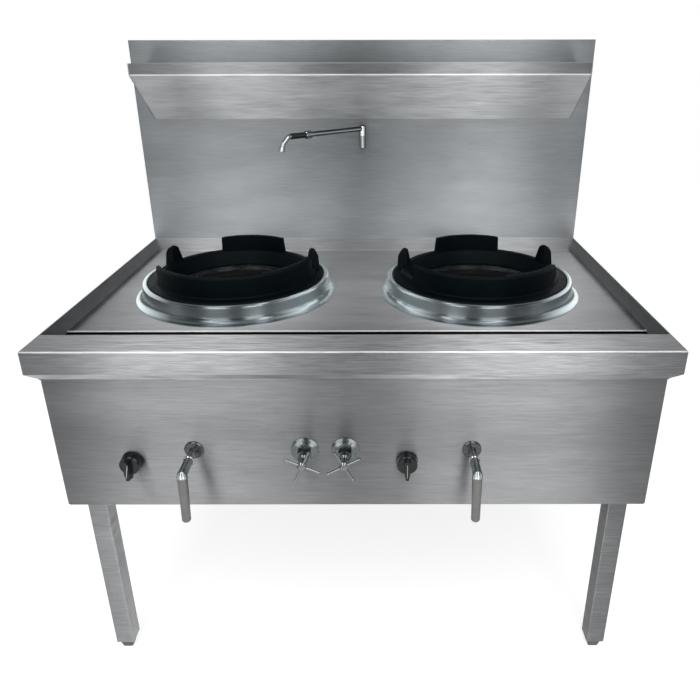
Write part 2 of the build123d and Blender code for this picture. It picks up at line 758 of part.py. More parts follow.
# Brackets: bent straps that carry the burners under the chambers
with BuildPart() as burner_brackets:
    for x in WELL_X.values():
        strap = [
            (x - BRACKET_HALF - 30, below(CHAMBER_DROP)),
            (x - BRACKET_HALF, below(CHAMBER_DROP)),
            (x - BRACKET_HALF, below(BRACKET_DROP)),
            (x + BRACKET_HALF, below(BRACKET_DROP)),
            (x + BRACKET_HALF, below(CHAMBER_DROP)),
            (x + BRACKET_HALF + 30, below(CHAMBER_DROP)),
        ]
        plane = Plane.XZ.offset(-WELL_Y)
        section = folded(strap, plane, Side.RIGHT, 2 * BEND, BRACKET_SHEET)
        extrude(section, amount=BRACKET_WIDTH / 2, both=True)
save(burner_brackets.part, "burner_brackets")

# ---------------------------------------------------------------- gas

# Manifold: a pipe across the front with stubs to the valves, and the inlet to the rear
with BuildPart() as gas_manifold:
    z = below(MANIFOLD_DROP)
    rod((MANIFOLD_X[0], VALVE_Y, z), (MANIFOLD_X[1], VALVE_Y, z), MANIFOLD_RADIUS)
    for x in LEVER_X.values():
        rod((x, VALVE_Y, z), (x, VALVE_Y, below(LEVER_DROP + 36)), 10)
    for x in KNOB_X.values():
        rod((x, VALVE_Y, z), (x, VALVE_Y, below(KNOB_DROP + 18)), 5)
    start = (MANIFOLD_X[0] + MANIFOLD_WALL, VALVE_Y, z)
    end = (MANIFOLD_X[1] - MANIFOLD_WALL, VALVE_Y, z)
    rod(start, end, MANIFOLD_RADIUS - MANIFOLD_WALL, Mode.SUBTRACT)
    inlet_run(GAS_INLET_X, z, GAS_INLET_RADIUS, GAS_INLET_RADIUS - MANIFOLD_WALL)
save(gas_manifold.part, "gas_manifold")

# Ball valves behind the levers
with BuildPart() as gas_valves:
    for x in LEVER_X.values():
        z = below(LEVER_DROP)
        rod((x, PANEL + SHEET, z), (x, PANEL + 14, z), 13)
        hexagon((x, PANEL + 14, z), (x, PANEL + 50, z), 34)
        rod((x, PANEL + 50, z), (x, PORT_Y, z), 11)
        rod((x, VALVE_Y, z), (x, VALVE_Y, below(LEVER_DROP + 36)), 13)
        boss = LEVER_NECK + FREE_GAP
        rod((x, PANEL + SHEET, z), (x, PANEL + 9, z), boss, Mode.SUBTRACT)
        stem_hole = STEM_RADIUS + RUNNING_GAP
        rod((x, PANEL + 9, z), (x, PANEL + 40, z), stem_hole, Mode.SUBTRACT)
save(gas_valves.part, "gas_valves")

# Round flanges on the panel around the lever necks
with BuildPart() as lever_flanges:
    for x in LEVER_X.values():
        bore = LEVER_NECK + FREE_GAP
        outline = [(bore, 0), (18.5, 0), (18.5, 2), (16, 4), (bore, 5)]
        turned(outline, (x, PANEL, below(LEVER_DROP)), FORWARD)
save(lever_flanges.part, "lever_flanges")

# Control levers: neck out of the panel, ringed sleeve, elbow and a hanging tapered handle
for name, x in LEVER_X.items():
    with BuildPart() as control_lever:
        z = below(LEVER_DROP)
        rod((x, PANEL + 8, z), (x, PANEL + 38, z), STEM_RADIUS)
        rod((x, PANEL + 8, z), (x, PANEL - LEVER_SLEEVE, z), LEVER_NECK)
        sleeve = [
            (0, 0),
            (LEVER_RADIUS - 1, 0),
            (LEVER_RADIUS + 1, 2),
            (LEVER_RADIUS + 1, 5),
            (LEVER_RADIUS - 0.6, 7),
            (LEVER_RADIUS - 0.6, LEVER_ELBOW - LEVER_SLEEVE),
            (0, LEVER_ELBOW - LEVER_SLEEVE),
        ]
        turned(sleeve, (x, PANEL - LEVER_SLEEVE, z), FORWARD)
        elbow = Vector(x, PANEL - LEVER_ELBOW, z)
        with Locations(elbow):
            Sphere(LEVER_RADIUS)
        hang = Vector(x, PANEL - LEVER_REACH, z - LEVER_LENGTH) - elbow
        handle = [
            (0, 0),
            (LEVER_RADIUS, 0),
            (LEVER_RADIUS + 0.6, 4),
            (LEVER_RADIUS + 0.6, 7),
            (LEVER_RADIUS, 8),
            (LEVER_TIP, hang.length - 3),
            (LEVER_TIP - 2, hang.length),
            (0, hang.length),
        ]
        turned(handle, elbow, hang)
    save(control_lever.part, f"control_lever_{name}")

# Supply pipes from the valves to the burners
with BuildPart() as supply_pipes:
    for name, x in LEVER_X.items():
        burner_x = WELL_X[name]
        route = [
            (x, PORT_Y, below(LEVER_DROP)),
            (x, PORT_Y + 25, below(LEVER_DROP)),
            (burner_x, PORT_Y + 60, below(MIXER_DROP)),
            (burner_x, PORT_Y + 85, below(MIXER_DROP)),
        ]
        pipe(route, SUPPLY_RADIUS, 12)
save(supply_pipes.part, "supply_pipes")

# Injectors at the mouths of the mixing tubes
with BuildPart() as injectors:
    for x in WELL_X.values():
        z = below(MIXER_DROP)
        hexagon((x, PORT_Y + 85, z), (x, PORT_Y + 97, z), 18)
        outline = [(0, 0), (7, 0), (3, 10), (0, 10)]
        turned(outline, (x, PORT_Y + 97, z), BACKWARD)
save(injectors.part, "injectors")

# Pilot valves behind the knobs
with BuildPart() as pilot_valves:
    for x in KNOB_X.values():
        z = below(KNOB_DROP)
        outline = [(0, 0), (11, 0), (11, 12), (14, 14), (14, 36), (9, 38), (9, 46), (0, 46)]
        turned(outline, (x, PANEL + SHEET, z), BACKWARD)
        rod((x, VALVE_Y, z), (x, VALVE_Y, z - 18), 8)
        bore = KNOB_SHAFT + RUNNING_GAP
        rod((x, PANEL + SHEET, z), (x, PANEL + 20, z), bore, Mode.SUBTRACT)
save(pilot_valves.part, "pilot_valves")

# Pilot tubes to the burner heads, each with a hexagonal tip
with BuildPart() as pilot_burners:
    for name, x in KNOB_X.items():
        pilot_x = WELL_X[name] - PILOT_OFFSET
        pilot_y = WELL_Y - PILOT_OFFSET
        low = below(BRACKET_DROP + 15)
        route = [
            (x, PANEL + 48, below(KNOB_DROP)),
            (x, PANEL + 75, below(KNOB_DROP)),
            (pilot_x, PANEL + 210, low),
            (pilot_x, pilot_y, low),
            (pilot_x, pilot_y, below(BURNER_DROP + 10)),
        ]
        pipe(route, PILOT_RADIUS, 12)
        tip = (pilot_x, pilot_y, below(BURNER_DROP + 11))
        hexagon(tip, (pilot_x, pilot_y, below(BURNER_DROP)), 9)
save(pilot_burners.part, "pilot_burners")

for name, x in KNOB_X.items():
    z = below(KNOB_DROP)
    face = PANEL - KNOB_GAP

    # Stem that turns in the pilot valve
    with BuildPart() as pilot_stem:
        rod((x, PANEL + 19, z), (x, face - 13, z), KNOB_SHAFT)
    save(pilot_stem.part, f"pilot_stem_{name}")

    # Pilot knob: deep round body with a pointed grip bar, bored for the stem
    with BuildPart() as pilot_knob:
        outline = [
            (0, 0),
            (KNOB_RADIUS, 0),
            (KNOB_RADIUS, 3),
            (KNOB_RADIUS - 1, 5),
            (KNOB_RADIUS - 1, KNOB_DEPTH - 2),
            (KNOB_RADIUS - 3, KNOB_DEPTH),
            (0, KNOB_DEPTH),
        ]
        turned(outline, (x, face, z), FORWARD)
        grip_line = [(0, 18), (4, 17), (6.5, 13), (6.5, -12), (4, -26), (0, -27)]
        grip_line += [(-across, up) for across, up in reversed(grip_line[1:-1])]
        front = Plane((x, face - KNOB_DEPTH + 2, z), x_dir=(1, 0, 0), z_dir=FORWARD)
        grip = profile(grip_line, front.rotated((0, 0, KNOB_TURN[name])))
        extrude(grip, amount=14, taper=5)
        rod((x, face, z), (x, face - 17, z), KNOB_SHAFT + RUNNING_GAP, Mode.SUBTRACT)
    save(pilot_knob.part, f"pilot_knob_{name}")

# ---------------------------------------------------------------- water

# Tap bodies: valve behind the panel and bonnet in front of it
with BuildPart() as tap_bodies:
    for x in TAP_X.values():
        z = below(TAP_DROP)
        rod((x, PANEL + SHEET, z), (x, PORT_Y - 12, z), 15)
        rod((x, PORT_Y - 12, z), (x, PORT_Y, z), 10)
        rod((x, PANEL + SHEET, z), (x, PANEL - 7, z), TAP_THREAD)
        hexagon((x, PANEL - 7, z), (x, PANEL - 24, z), 25)
        outline = [(0, 0), (10, 0), (10, 8), (7, 12), (0, 12)]
        turned(outline, (x, PANEL - 24, z), FORWARD)
        rod((x, VALVE_Y, z), (x, VALVE_Y, below(WATER_DROP - WATER_STUB)), 10)
        bore = SPINDLE_RADIUS + RUNNING_GAP
        rod((x, PANEL - 36, z), (x, PANEL + 15, z), bore, Mode.SUBTRACT)
save(tap_bodies.part, "tap_bodies")

# Domed flanges on the panel around the tap bonnets
with BuildPart() as tap_flanges:
    for x in TAP_X.values():
        bore = TAP_THREAD + FREE_GAP
        outline = [(bore, 0), (28, 0), (28, 1.5), (24, 3.5), (17, 6), (bore, 6.7)]
        turned(outline, (x, PANEL, below(TAP_DROP)), FORWARD)
save(tap_flanges.part, "tap_flanges")

# Cross handles: hub with four thin arms and a spindle into the tap
for name, x in TAP_X.items():
    with BuildPart() as cross_handle:
        z = below(TAP_DROP)
        hub_y = PANEL - TAP_HUB
        rod((x, PANEL + 14, z), (x, hub_y + 5, z), SPINDLE_RADIUS)
        outline = [(0, 0), (7, 0), (9, 3), (9, 10), (6, 14), (0, 15)]
        turned(outline, (x, hub_y + 9, z), FORWARD)
        for quarter in range(4):
            angle = radians(TAP_ANGLE[name] + 90 * quarter)
            reach = TAP_REACH - 3
            end = (x + reach * cos(angle), hub_y, z + reach * sin(angle))
            rod((x, hub_y, z), end, 2.2)
            outward = (cos(angle), 0, sin(angle))
            turned([(0, 0), (2.2, 0), (2.8, 1), (2.8, 3), (0, 4)], end, outward)
    save(cross_handle.part, f"cross_handle_{name}")

# Water inlet: a pipe under both taps and a run to the rear
with BuildPart() as water_inlet_pipe:
    z = below(WATER_DROP)
    start = (TAP_X["left"] - 12, VALVE_Y, z)
    rod(start, (TAP_X["right"] + 12, VALVE_Y, z), WATER_HEADER)
    inlet_run(WATER_INLET_X, z, WATER_RADIUS, WATER_RADIUS - SHEET)
    for x in TAP_X.values():
        rod((x, VALVE_Y, z), (x, VALVE_Y, z + WATER_STUB), 6)
save(water_inlet_pipe.part, "water_inlet_pipe")

# Riser from the left tap, under the deck and up inside the splashback
with BuildPart() as faucet_riser:
    route = [
        (TAP_X["left"], PORT_Y, below(TAP_DROP)),
        (TAP_X["left"], PORT_Y + 90, below(TAP_DROP)),
        (0, PORT_Y + 180, below(TAP_DROP)),
        (0, SPLASH - 24, below(TAP_DROP)),
        (0, SPLASH - 24, below(150)),
        (0, RISER_Y, below(115)),
        (0, RISER_Y, above(FAUCET_STUB - 20)),
    ]
    pipe(route, RISER_RADIUS, 14)
save(faucet_riser.part, "faucet_riser")

# Pipe from the right tap that flushes the gutter
with BuildPart() as gutter_flush_pipe:
    route = [
        (TAP_X["right"], PORT_Y, below(TAP_DROP)),
        (TAP_X["right"], GUTTER_MID, below(TAP_DROP)),
        (TAP_X["right"], GUTTER_MID, below(50)),
    ]
    pipe(route, RISER_RADIUS, 14)
save(gutter_flush_pipe.part, "gutter_flush_pipe")

# Drain: flanged tail pipe under the gutter
with BuildPart() as drain_outlet:
    origin = (DRAIN_X, GUTTER_MID, SKIRT)
    bore = DRAIN_RADIUS
    outline = [
        (bore, 0),
        (bore + 12, 0),
        (bore + 12, -2),
        (bore + 2.5, -2),
        (bore + 2.5, -DRAIN_TAIL),
        (bore, -DRAIN_TAIL),
    ]
    turned(outline, origin, UPWARD)
save(drain_outlet.part, "drain_outlet")

# Strainer: perforated plate with a locating skirt and a lifting knob
with BuildPart() as drain_strainer:
    origin = (DRAIN_X, GUTTER_MID, SKIRT + SHEET)
    skirt_out = DRAIN_RADIUS - 1
    outline = [
        (0, 0),
        (skirt_out - 2, 0),
        (skirt_out - 2, -6),
        (skirt_out, -6),
        (skirt_out, 0),
        (DRAIN_RADIUS + 12, 0),
        (DRAIN_RADIUS + 10, 2),
        (4, 2),
        (3, 6),
        (5, 9),
        (0, 10),
    ]
    turned(outline, origin, UPWARD)
    with BuildSketch(Plane.XY.offset(SKIRT + 3 * SHEET)) as holes:
        with Locations((DRAIN_X, GUTTER_MID)):
            with PolarLocations(14, 8):
                Circle(2.5)
    extrude(holes.sketch, amount=-3 * SHEET, mode=Mode.SUBTRACT)
save(drain_strainer.part, "drain_strainer")

# ---------------------------------------------------------------- swing faucet

# Base: stub through the splashback to an upright body with a rounded foot and a pin
with BuildPart() as faucet_base:
    foot, shoulder = (above(height) for height in FAUCET_BODY)
    origin = (0, FAUCET_Y, 0)
    outline = [
        (0, foot),
        (FAUCET_RADIUS - 4, foot),
        (FAUCET_RADIUS, foot + 4),
        (FAUCET_RADIUS, shoulder),
        (STEM_RADIUS - 1, shoulder),
        (STEM_RADIUS - 1, above(FAUCET_RISE)),
        (0, above(FAUCET_RISE)),
    ]
    turned(outline, origin, UPWARD)
    stub_z = above(FAUCET_STUB)
    rod((0, FAUCET_Y, stub_z), (0, RISER_Y, stub_z), ARM_RADIUS)
    rod((0, RISER_Y, stub_z - 20), (0, RISER_Y, stub_z + ARM_RADIUS), RISER_RADIUS)
save(faucet_base.part, "faucet_base")

arm_z = above(FAUCET_RISE)
pivot = (0, FAUCET_Y)
outward = (cos(radians(FAUCET_ANGLE)), sin(radians(FAUCET_ANGLE)), 0)

# Arm: cap that turns on the pin, with the tube to the nut
with BuildPart() as faucet_arm:
    cap_low = shoulder + FREE_GAP
    cap_top = above(FAUCET_CAP)
    outline = [
        (0, cap_low),
        (FAUCET_RADIUS + 0.5, cap_low),
        (FAUCET_RADIUS + 0.5, cap_top - 3),
        (FAUCET_RADIUS - 3, cap_top),
        (0, cap_top),
    ]
    turned(outline, (*pivot, 0), UPWARD)
    rod((*pivot, arm_z), polar(pivot, NUT_START + 6, FAUCET_ANGLE, arm_z), ARM_RADIUS)
    pin_hole = (*pivot, arm_z + 1)
    rod((*pivot, cap_low), pin_hole, STEM_RADIUS - 1 + RUNNING_GAP, Mode.SUBTRACT)
save(faucet_arm.part, "faucet_arm")

# Nut over the joint of arm and spout
with BuildPart() as faucet_nut:
    bore = ARM_RADIUS + 0.1
    width = GRIP_START - NUT_START
    outline = [(bore, 0), (8, 0), (9.3, 1.5), (9.3, width - 1.5), (8, width), (bore, width)]
    turned(outline, polar(pivot, NUT_START, FAUCET_ANGLE, arm_z), outward)
save(faucet_nut.part, "faucet_nut")

# Sleeve to hold the hot spout by
with BuildPart() as faucet_grip:
    bore = SPOUT_RADIUS + 0.1
    width = GRIP_END - GRIP_START
    outline = [(bore, 0), (7.2, 0), (7.2, width - 1), (6.5, width), (bore, width)]
    turned(outline, polar(pivot, GRIP_START, FAUCET_ANGLE, arm_z), outward)
save(faucet_grip.part, "faucet_grip")

# Spout: tube through the sleeve, bent down in two steps to a wider nozzle
with BuildPart() as faucet_spout:
    route = [polar(pivot, NUT_START + 6, FAUCET_ANGLE, arm_z)]
    for reach, drop in SPOUT_BENDS:
        route.append(polar(pivot, GRIP_END + reach, FAUCET_ANGLE, arm_z - drop))
    pipe(route, SPOUT_RADIUS, 12)
    tip = Vector(route[-1])
    downward = (tip - Vector(route[-2])).normalized()
    outline = [
        (0, -NOZZLE_LENGTH),
        (NOZZLE_RADIUS - 1, -NOZZLE_LENGTH),
        (NOZZLE_RADIUS, 1 - NOZZLE_LENGTH),
        (NOZZLE_RADIUS, 0),
        (NOZZLE_RADIUS - 1.5, 0),
        (NOZZLE_RADIUS - 1.5, -3),
        (0, -3),
    ]
    turned(outline, tip, downward)
save(faucet_spout.part, "faucet_spout")
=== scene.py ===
from math import cos, pi, radians, sin, tau

import bmesh
import bpy
from mathutils import Matrix, Vector


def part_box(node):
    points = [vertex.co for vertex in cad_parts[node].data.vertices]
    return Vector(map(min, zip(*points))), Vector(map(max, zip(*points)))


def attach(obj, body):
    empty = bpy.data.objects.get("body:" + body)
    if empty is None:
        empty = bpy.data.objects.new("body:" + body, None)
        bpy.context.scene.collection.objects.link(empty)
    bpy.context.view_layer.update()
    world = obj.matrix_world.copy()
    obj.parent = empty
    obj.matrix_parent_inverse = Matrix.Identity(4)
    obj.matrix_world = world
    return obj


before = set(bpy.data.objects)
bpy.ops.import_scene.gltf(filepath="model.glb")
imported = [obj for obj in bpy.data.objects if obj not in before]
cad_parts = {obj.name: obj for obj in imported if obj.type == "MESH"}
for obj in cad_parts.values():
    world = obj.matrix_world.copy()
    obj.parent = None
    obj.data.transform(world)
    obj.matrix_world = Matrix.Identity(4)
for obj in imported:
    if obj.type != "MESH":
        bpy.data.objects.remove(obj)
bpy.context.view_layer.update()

# ------------------------------------------------------------------ sizes, in metres
MM = 0.001
RIM_LOW, RIM_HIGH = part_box("top_frame")
DECK_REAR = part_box("deck_pan")[1].y
PANEL_LOW, PANEL_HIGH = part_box("front_panel")
SHELF_LOW, SHELF_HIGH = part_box("shelf")
RIM_TOP = RIM_HIGH.z
SHELF_LIP = 26 * MM
# Height of the sunk deck, and the line of its front lip behind the gutter.
DECK_TOP = RIM_TOP - 37 * MM
DECK_FRONT = RIM_LOW.y + 184 * MM

# (x, z) of the pilot knobs' axes, and how far each is turned from straight down.
KNOB_AXIS = {"left": (-434 * MM, 540 * MM), "right": (100 * MM, 540 * MM)}
KNOB_DEGREES = {"left": -12.0, "right": 0.0}

# ------------------------------------------------------------------ camera
CAMERA_PLACE = (0.05456, -1.43424, 1.27514)
CAMERA_PITCH = 0.4005571
CAMERA_ROLL = 0.0016091
SENSOR = 36.0
IMAGE_SIDE = 700.0
FOCAL_PIXELS = 663.345
CENTRE_PIXEL = (383.034, 331.126)


def make_camera():
    """Camera at the photograph's place, tilted down at the range."""
    data = bpy.data.cameras.new("camera")
    data.sensor_width = SENSOR
    data.lens = SENSOR * FOCAL_PIXELS / IMAGE_SIDE
    data.shift_x = (IMAGE_SIDE / 2 - CENTRE_PIXEL[0]) / IMAGE_SIDE
    data.shift_y = (CENTRE_PIXEL[1] - IMAGE_SIDE / 2) / IMAGE_SIDE
    camera = bpy.data.objects.new("camera", data)
    camera.location = CAMERA_PLACE
    camera.rotation_euler = (pi / 2 - CAMERA_PITCH, CAMERA_ROLL, 0)
    bpy.context.scene.collection.objects.link(camera)
    bpy.context.scene.camera = camera


# ------------------------------------------------------------------ node helpers
# Keeps a tangent from vanishing on a face that looks along the grain.
TANGENT_OFFSET = (0.002, 0.003, 0.001)
# How far a normal leans along X on a face that counts as looking sideways.
SIDEWAYS_FROM = 0.7


class Tree:
    """A node tree with short calls for the nodes used here."""

    def __init__(self, tree):
        self.nodes = tree.nodes
        self.links = tree.links

    def node(self, kind, **settings):
        """New node with settings such as its operation."""
        made = self.nodes.new(f"ShaderNode{kind}")
        for key, value in settings.items():
            setattr(made, key, value)
        return made

    def join(self, value, socket):
        """Link an output to a socket, or set the socket to a constant."""
        if isinstance(value, bpy.types.NodeSocket):
            self.links.new(value, socket)
        else:
            socket.default_value = value

    def math(self, operation, first, second=0.0):
        node = self.node("Math", operation=operation)
        self.join(first, node.inputs[0])
        self.join(second, node.inputs[1])
        return node.outputs[0]

    def times(self, product, *factors):
        """Product of outputs and constants."""
        for factor in factors:
            product = self.math("MULTIPLY", product, factor)
        return product

    def pick(self, share, off, on):
        """The off value where the share is 0, the on value where it is 1."""
        kept = self.times(self.math("SUBTRACT", 1.0, share), off)
        return self.math("ADD", kept, self.times(share, on))

    def span(self, value, low, high, start=0.3, end=0.7, smooth=False):
        """Spread a value that runs from start to end between low and high."""
        node = self.node("MapRange", interpolation_type="SMOOTHSTEP" if smooth else "LINEAR")
        self.join(start, node.inputs["From Min"])
        self.join(end, node.inputs["From Max"])
        self.join(low, node.inputs["To Min"])
        self.join(high, node.inputs["To Max"])
        self.join(value, node.inputs["Value"])
        return node.outputs["Result"]

    def part(self, vector, name):
        """One coordinate of a vector."""
        node = self.node("SeparateXYZ")
        self.join(vector, node.inputs[0])
        return node.outputs[name]

    def seen_directly(self):
        """1 on camera, glossy and transmission rays, else 0."""
        rays = self.node("LightPath").outputs
        mirrored = self.math("MAXIMUM", rays["Is Glossy Ray"], rays["Is Transmission Ray"])
        return self.math("MAXIMUM", rays["Is Camera Ray"], mirrored)


class Shader(Tree):
    """A material's tree round its surface, with places and normals in the object's frame."""

    def __init__(self, name):
        self.material = bpy.data.materials.new(name)
        self.material.use_nodes = True
        super().__init__(self.material.node_tree)
        self.surface = self.nodes["Principled BSDF"]
        coordinates = self.node("TexCoord").outputs
        self.place = coordinates["Object"]
        self.normal = coordinates["Normal"]

    def set(self, **values):
        """Set sockets of the surface, or link outputs to them."""
        for key, value in values.items():
            self.join(value, self.surface.inputs[key.replace("_", " ")])

    def axis(self, name):
        """One coordinate of the place."""
        return self.part(self.place, name)

    def looks(self, name):
        """How far the face looks along an axis, from -1 to 1."""
        return self.part(self.normal, name)

    def off_middle(self):
        """Distance from the middle of the range, to the left or right."""
        return self.math("ABSOLUTE", self.axis("X"))

    def sideways(self):
        """1 on faces that look to the left or right, else 0."""
        return self.math("GREATER_THAN", self.math("ABSOLUTE", self.looks("X")), SIDEWAYS_FROM)

    def vector(self, operation, first, second):
        node = self.node("VectorMath", operation=operation)
        self.join(first, node.inputs[0])
        self.join(second, node.inputs[1])
        return node.outputs["Vector"]

    def length(self, vector):
        node = self.node("VectorMath", operation="LENGTH")
        self.join(vector, node.inputs[0])
        return node.outputs["Value"]

    def distance_x(self, line):
        """Distance from a line along X that passes through (y, z)."""
        offset = self.vector("SUBTRACT", self.place, (0.0, *line))
        return self.length(self.vector("MULTIPLY", offset, (0.0, 1.0, 1.0)))

    def stretched(self, scale):
        """The object's place, scaled apart along each axis."""
        node = self.node("Mapping")
        self.join(scale, node.inputs["Scale"])
        self.join(self.place, node.inputs["Vector"])
        return node.outputs["Vector"]

    def choose(self, share, first, second):
        """The first vector where the share is 0, the second where it is 1."""
        node = self.node("Mix", data_type="VECTOR")
        vectors = [s for s in node.inputs if s.type == "VECTOR" and s.enabled]
        self.join(share, node.inputs["Factor"])
        for socket, value in zip(vectors[-2:], (first, second)):
            self.join(value, socket)
        return next(s for s in node.outputs if s.type == "VECTOR" and s.enabled)

    def noise(self, scale, vector=None, detail=3.0, roughness=0.55, distortion=0.0):
        node = self.node("TexNoise")
        self.join(scale, node.inputs["Scale"])
        self.join(detail, node.inputs["Detail"])
        self.join(roughness, node.inputs["Roughness"])
        self.join(distortion, node.inputs["Distortion"])
        self.join(vector or self.place, node.inputs["Vector"])
        return node.outputs["Fac"]

    def mix(self, share, first, second):
        """The first colour where the share is 0, the second where it is 1."""
        node = self.node("Mix", data_type="RGBA")
        colours = [s for s in node.inputs if s.type == "RGBA"]
        self.join(share, node.inputs["Factor"])
        for socket, value in zip(colours, (first, second)):
            self.join((*value, 1.0) if isinstance(value, tuple) else value, socket)
        return next(s for s in node.outputs if s.type == "RGBA")

    def mottled(self, noise, first, second):
        """A colour that wanders between two with a noise."""
        return self.mix(self.span(noise, 0.0, 1.0), first, second)

    def tinted(self, value, tint):
        """Colour from a value and a tint."""
        node = self.node("CombineColor")
        for socket, share in zip(node.inputs, tint):
            self.join(self.times(value, share), socket)
        return node.outputs["Color"]

    def bump(self, height, distance, strength):
        node = self.node("Bump")
        self.join(distance, node.inputs["Distance"])
        self.join(strength, node.inputs["Strength"])
        self.join(height, node.inputs["Height"])
        self.join(node.outputs["Normal"], self.surface.inputs["Normal"])

    def across(self, direction, length=1.0):
        """Spread highlights across the grain, whose direction has about this length."""
        normal = self.node("NewGeometry").outputs["Normal"]
        side = self.vector("CROSS_PRODUCT", normal, direction)
        offset = tuple(length * c for c in TANGENT_OFFSET)
        self.join(self.vector("ADD", side, offset), self.surface.inputs["Tangent"])


# ------------------------------------------------------------------ brushed sheet
STEEL_TONE = 0.34
STEEL_TINT = (0.975, 0.995, 1.01)
COOL_TINT = (0.95, 1.0, 1.035)
# Scale of the noise along the grain and across it.
GRAIN_STRETCH = (20.0, 520.0)
STREAK_STRETCH = (15.0, 290.0)
CLOUD_STRETCH = (2.0, 8.0, 8.0)
# Painted highlight along bends: its width, its tone and its share of metal, which at less than 1
# keeps it evenly bright.
FOLD_HIGHLIGHT_RADIUS = 2.3 * MM
FOLD_HIGHLIGHT_TONE = 0.55
FOLD_HIGHLIGHT_METAL = 0.45


def by_axis(axis, along, across):
    """A vector with one value on an axis and another on the other two."""
    return tuple(along if name == axis else across for name in "xyz")


def brushed(
    name, along, tone=STEEL_TONE, streak=0.14, gloss=0.50, tint=STEEL_TINT, folds=(), shade=None
):
    """Brushed stainless sheet: fine grain and longer streaks along one axis.

    Faces that look sideways are brushed along Y. folds gives (y, z) of bends along X, which get
    a painted highlight. shade makes a factor of painted light and shade for the tone.
    """
    s = Shader(name)
    turned = s.sideways()

    def lined(stretch):
        main, side = [s.stretched(by_axis(axis, *stretch)) for axis in (along, "y")]
        return s.choose(turned, main, side)

    grain = s.noise(1.0, lined(GRAIN_STRETCH), detail=4.0, roughness=0.65)
    streaks = s.noise(1.0, lined(STREAK_STRETCH), roughness=0.5, distortion=0.3)
    clouds = s.noise(2.6, s.stretched(CLOUD_STRETCH), detail=2.0)
    level = s.times(
        s.span(grain, 1 - streak, 1 + streak),
        tone,
        s.span(streaks, 1 - streak, 1 + streak),
        s.span(clouds, 0.93, 1.07),
    )
    # Painted light and shade from the shade function.
    if shade:
        level = s.times(level, shade(s))
    metal = 1.0
    # Painted highlight along each bend, made less metallic so that it stays evenly bright.
    for line in folds:
        near = s.math("LESS_THAN", s.distance_x(line), FOLD_HIGHLIGHT_RADIUS)
        level = s.times(level, s.pick(near, 1.0, FOLD_HIGHLIGHT_TONE / tone))
        metal = s.times(s.pick(near, 1.0, FOLD_HIGHLIGHT_METAL), metal)
    s.set(
        Base_Color=s.tinted(level, tint),
        Metallic=metal,
        Roughness=s.span(streaks, gloss - 0.75 * streak, gloss + 0.6 * streak),
        Anisotropic=1.0,
    )
    s.across(s.choose(turned, by_axis(along, 1.0, 0.0), by_axis("y", 1.0, 0.0)))
    s.bump(grain, distance=0.06 * MM, strength=0.5)
    return s.material


def deck_shade(s):
    """Painted shade under the deck's front lip, painted light towards the rear and a painted
    highlight on the rear upstand.
    """
    # Painted shade: near black on the lip's face below its bend, where the gutter lies in shade.
    under = s.math("LESS_THAN", s.axis("Z"), DECK_TOP - 2.5 * MM)
    front = s.math("LESS_THAN", s.axis("Y"), DECK_FRONT + 2 * MM)
    painted_shade_under_lip = s.pick(s.times(under, front), 1.0, 0.04)
    # Painted light: brighter towards the rear, and much brighter on the rear upstand.
    rear = s.math("GREATER_THAN", s.axis("Y"), DECK_REAR - 4 * MM)
    painted_light_rearwards = s.span(s.axis("Y"), 1.0, 1.4, start=-200 * MM, end=100 * MM)
    return s.times(painted_shade_under_lip, s.math("MAXIMUM", painted_light_rearwards, s.pick(rear, 1.0, 2.2)))


def middle_shade(s):
    """Painted light: sheets are a little brighter in the middle of their front."""
    front = s.math("LESS_THAN", s.looks("Y"), -0.1)
    middle = s.span(s.off_middle(), 1.25, 1.0, start=80 * MM, end=220 * MM, smooth=True)
    return s.pick(front, 1.0, middle)


def panel_shade(s):
    """Painted light: a little brighter towards its lower edge and just under the skirt."""
    foot, head = PANEL_LOW.z, PANEL_HIGH.z
    low = s.span(s.axis("Z"), 1.15, 1.0, foot + 50 * MM, foot + 160 * MM, smooth=True)
    high = s.span(s.axis("Z"), 1.0, 1.15, head - 120 * MM, head - 30 * MM, smooth=True)
    return s.times(low, high, middle_shade(s))


def leg_shade(s):
    """Painted light and shade: the right legs are darker than the left ones, and the sides of the
    left legs lighter.
    """
    right = s.math("GREATER_THAN", s.axis("X"), 0.0)
    return s.pick(s.sideways(), s.pick(right, 1.0, 0.66), s.pick(right, 1.6, 0.8))


def rim_shade(s):
    """Painted light: the top face brighter than the front one, and the skirt brighter and darker
    in broad bands along its length.
    """
    top = s.span(s.looks("Z"), 1.0, 1.12, start=0.5, end=0.9)
    painted_light_patches = s.times(
        s.span(s.axis("X"), 1.7, 0.6, start=-600 * MM, end=-150 * MM),
        s.span(s.axis("X"), 1.0, 2.4, start=-150 * MM, end=120 * MM),
        s.span(s.axis("X"), 1.0, 0.5, start=120 * MM, end=600 * MM),
    )
    skirt = s.span(s.looks("Z"), 1.0, 0.0, start=-0.3, end=-0.2)
    return s.pick(skirt, top, painted_light_patches)


def splash_shade(s):
    """Painted light: brighter low down."""
    low = s.span(s.axis("Z"), 1.45, 1.0, RIM_TOP + 20 * MM, RIM_TOP + 240 * MM, smooth=True)
    return s.times(low, middle_shade(s))


def shelf_shade(s):
    """Painted light and shade: the sloped underside brighter than the lip, and both darker at
    their ends.
    """
    slope = s.span(s.looks("Z"), 2.1, 1.0, start=-0.4, end=-0.15)
    ends = s.span(s.off_middle(), 1.0, 0.7, start=320 * MM, end=460 * MM, smooth=True)
    return s.times(slope, ends)


# ------------------------------------------------------------------ other materials
# Colours are linear.
PIPE_GREY = (0.22, 0.225, 0.23)
COPPER = (0.60, 0.30, 0.18)
COLLAR_COLOUR = (0.40, 0.455, 0.475)
COLLAR_GLOSS = 0.24
# Painted dark reflection for the edges of round chrome parts.
CHROME_PAINTED_DARK_EDGE = (0.06, 0.075, 0.082)
# The lever's handle starts this far below its top and this far in front of the panel.
LEVER_POLISHED = 15 * MM
LEVER_BEND = 74 * MM


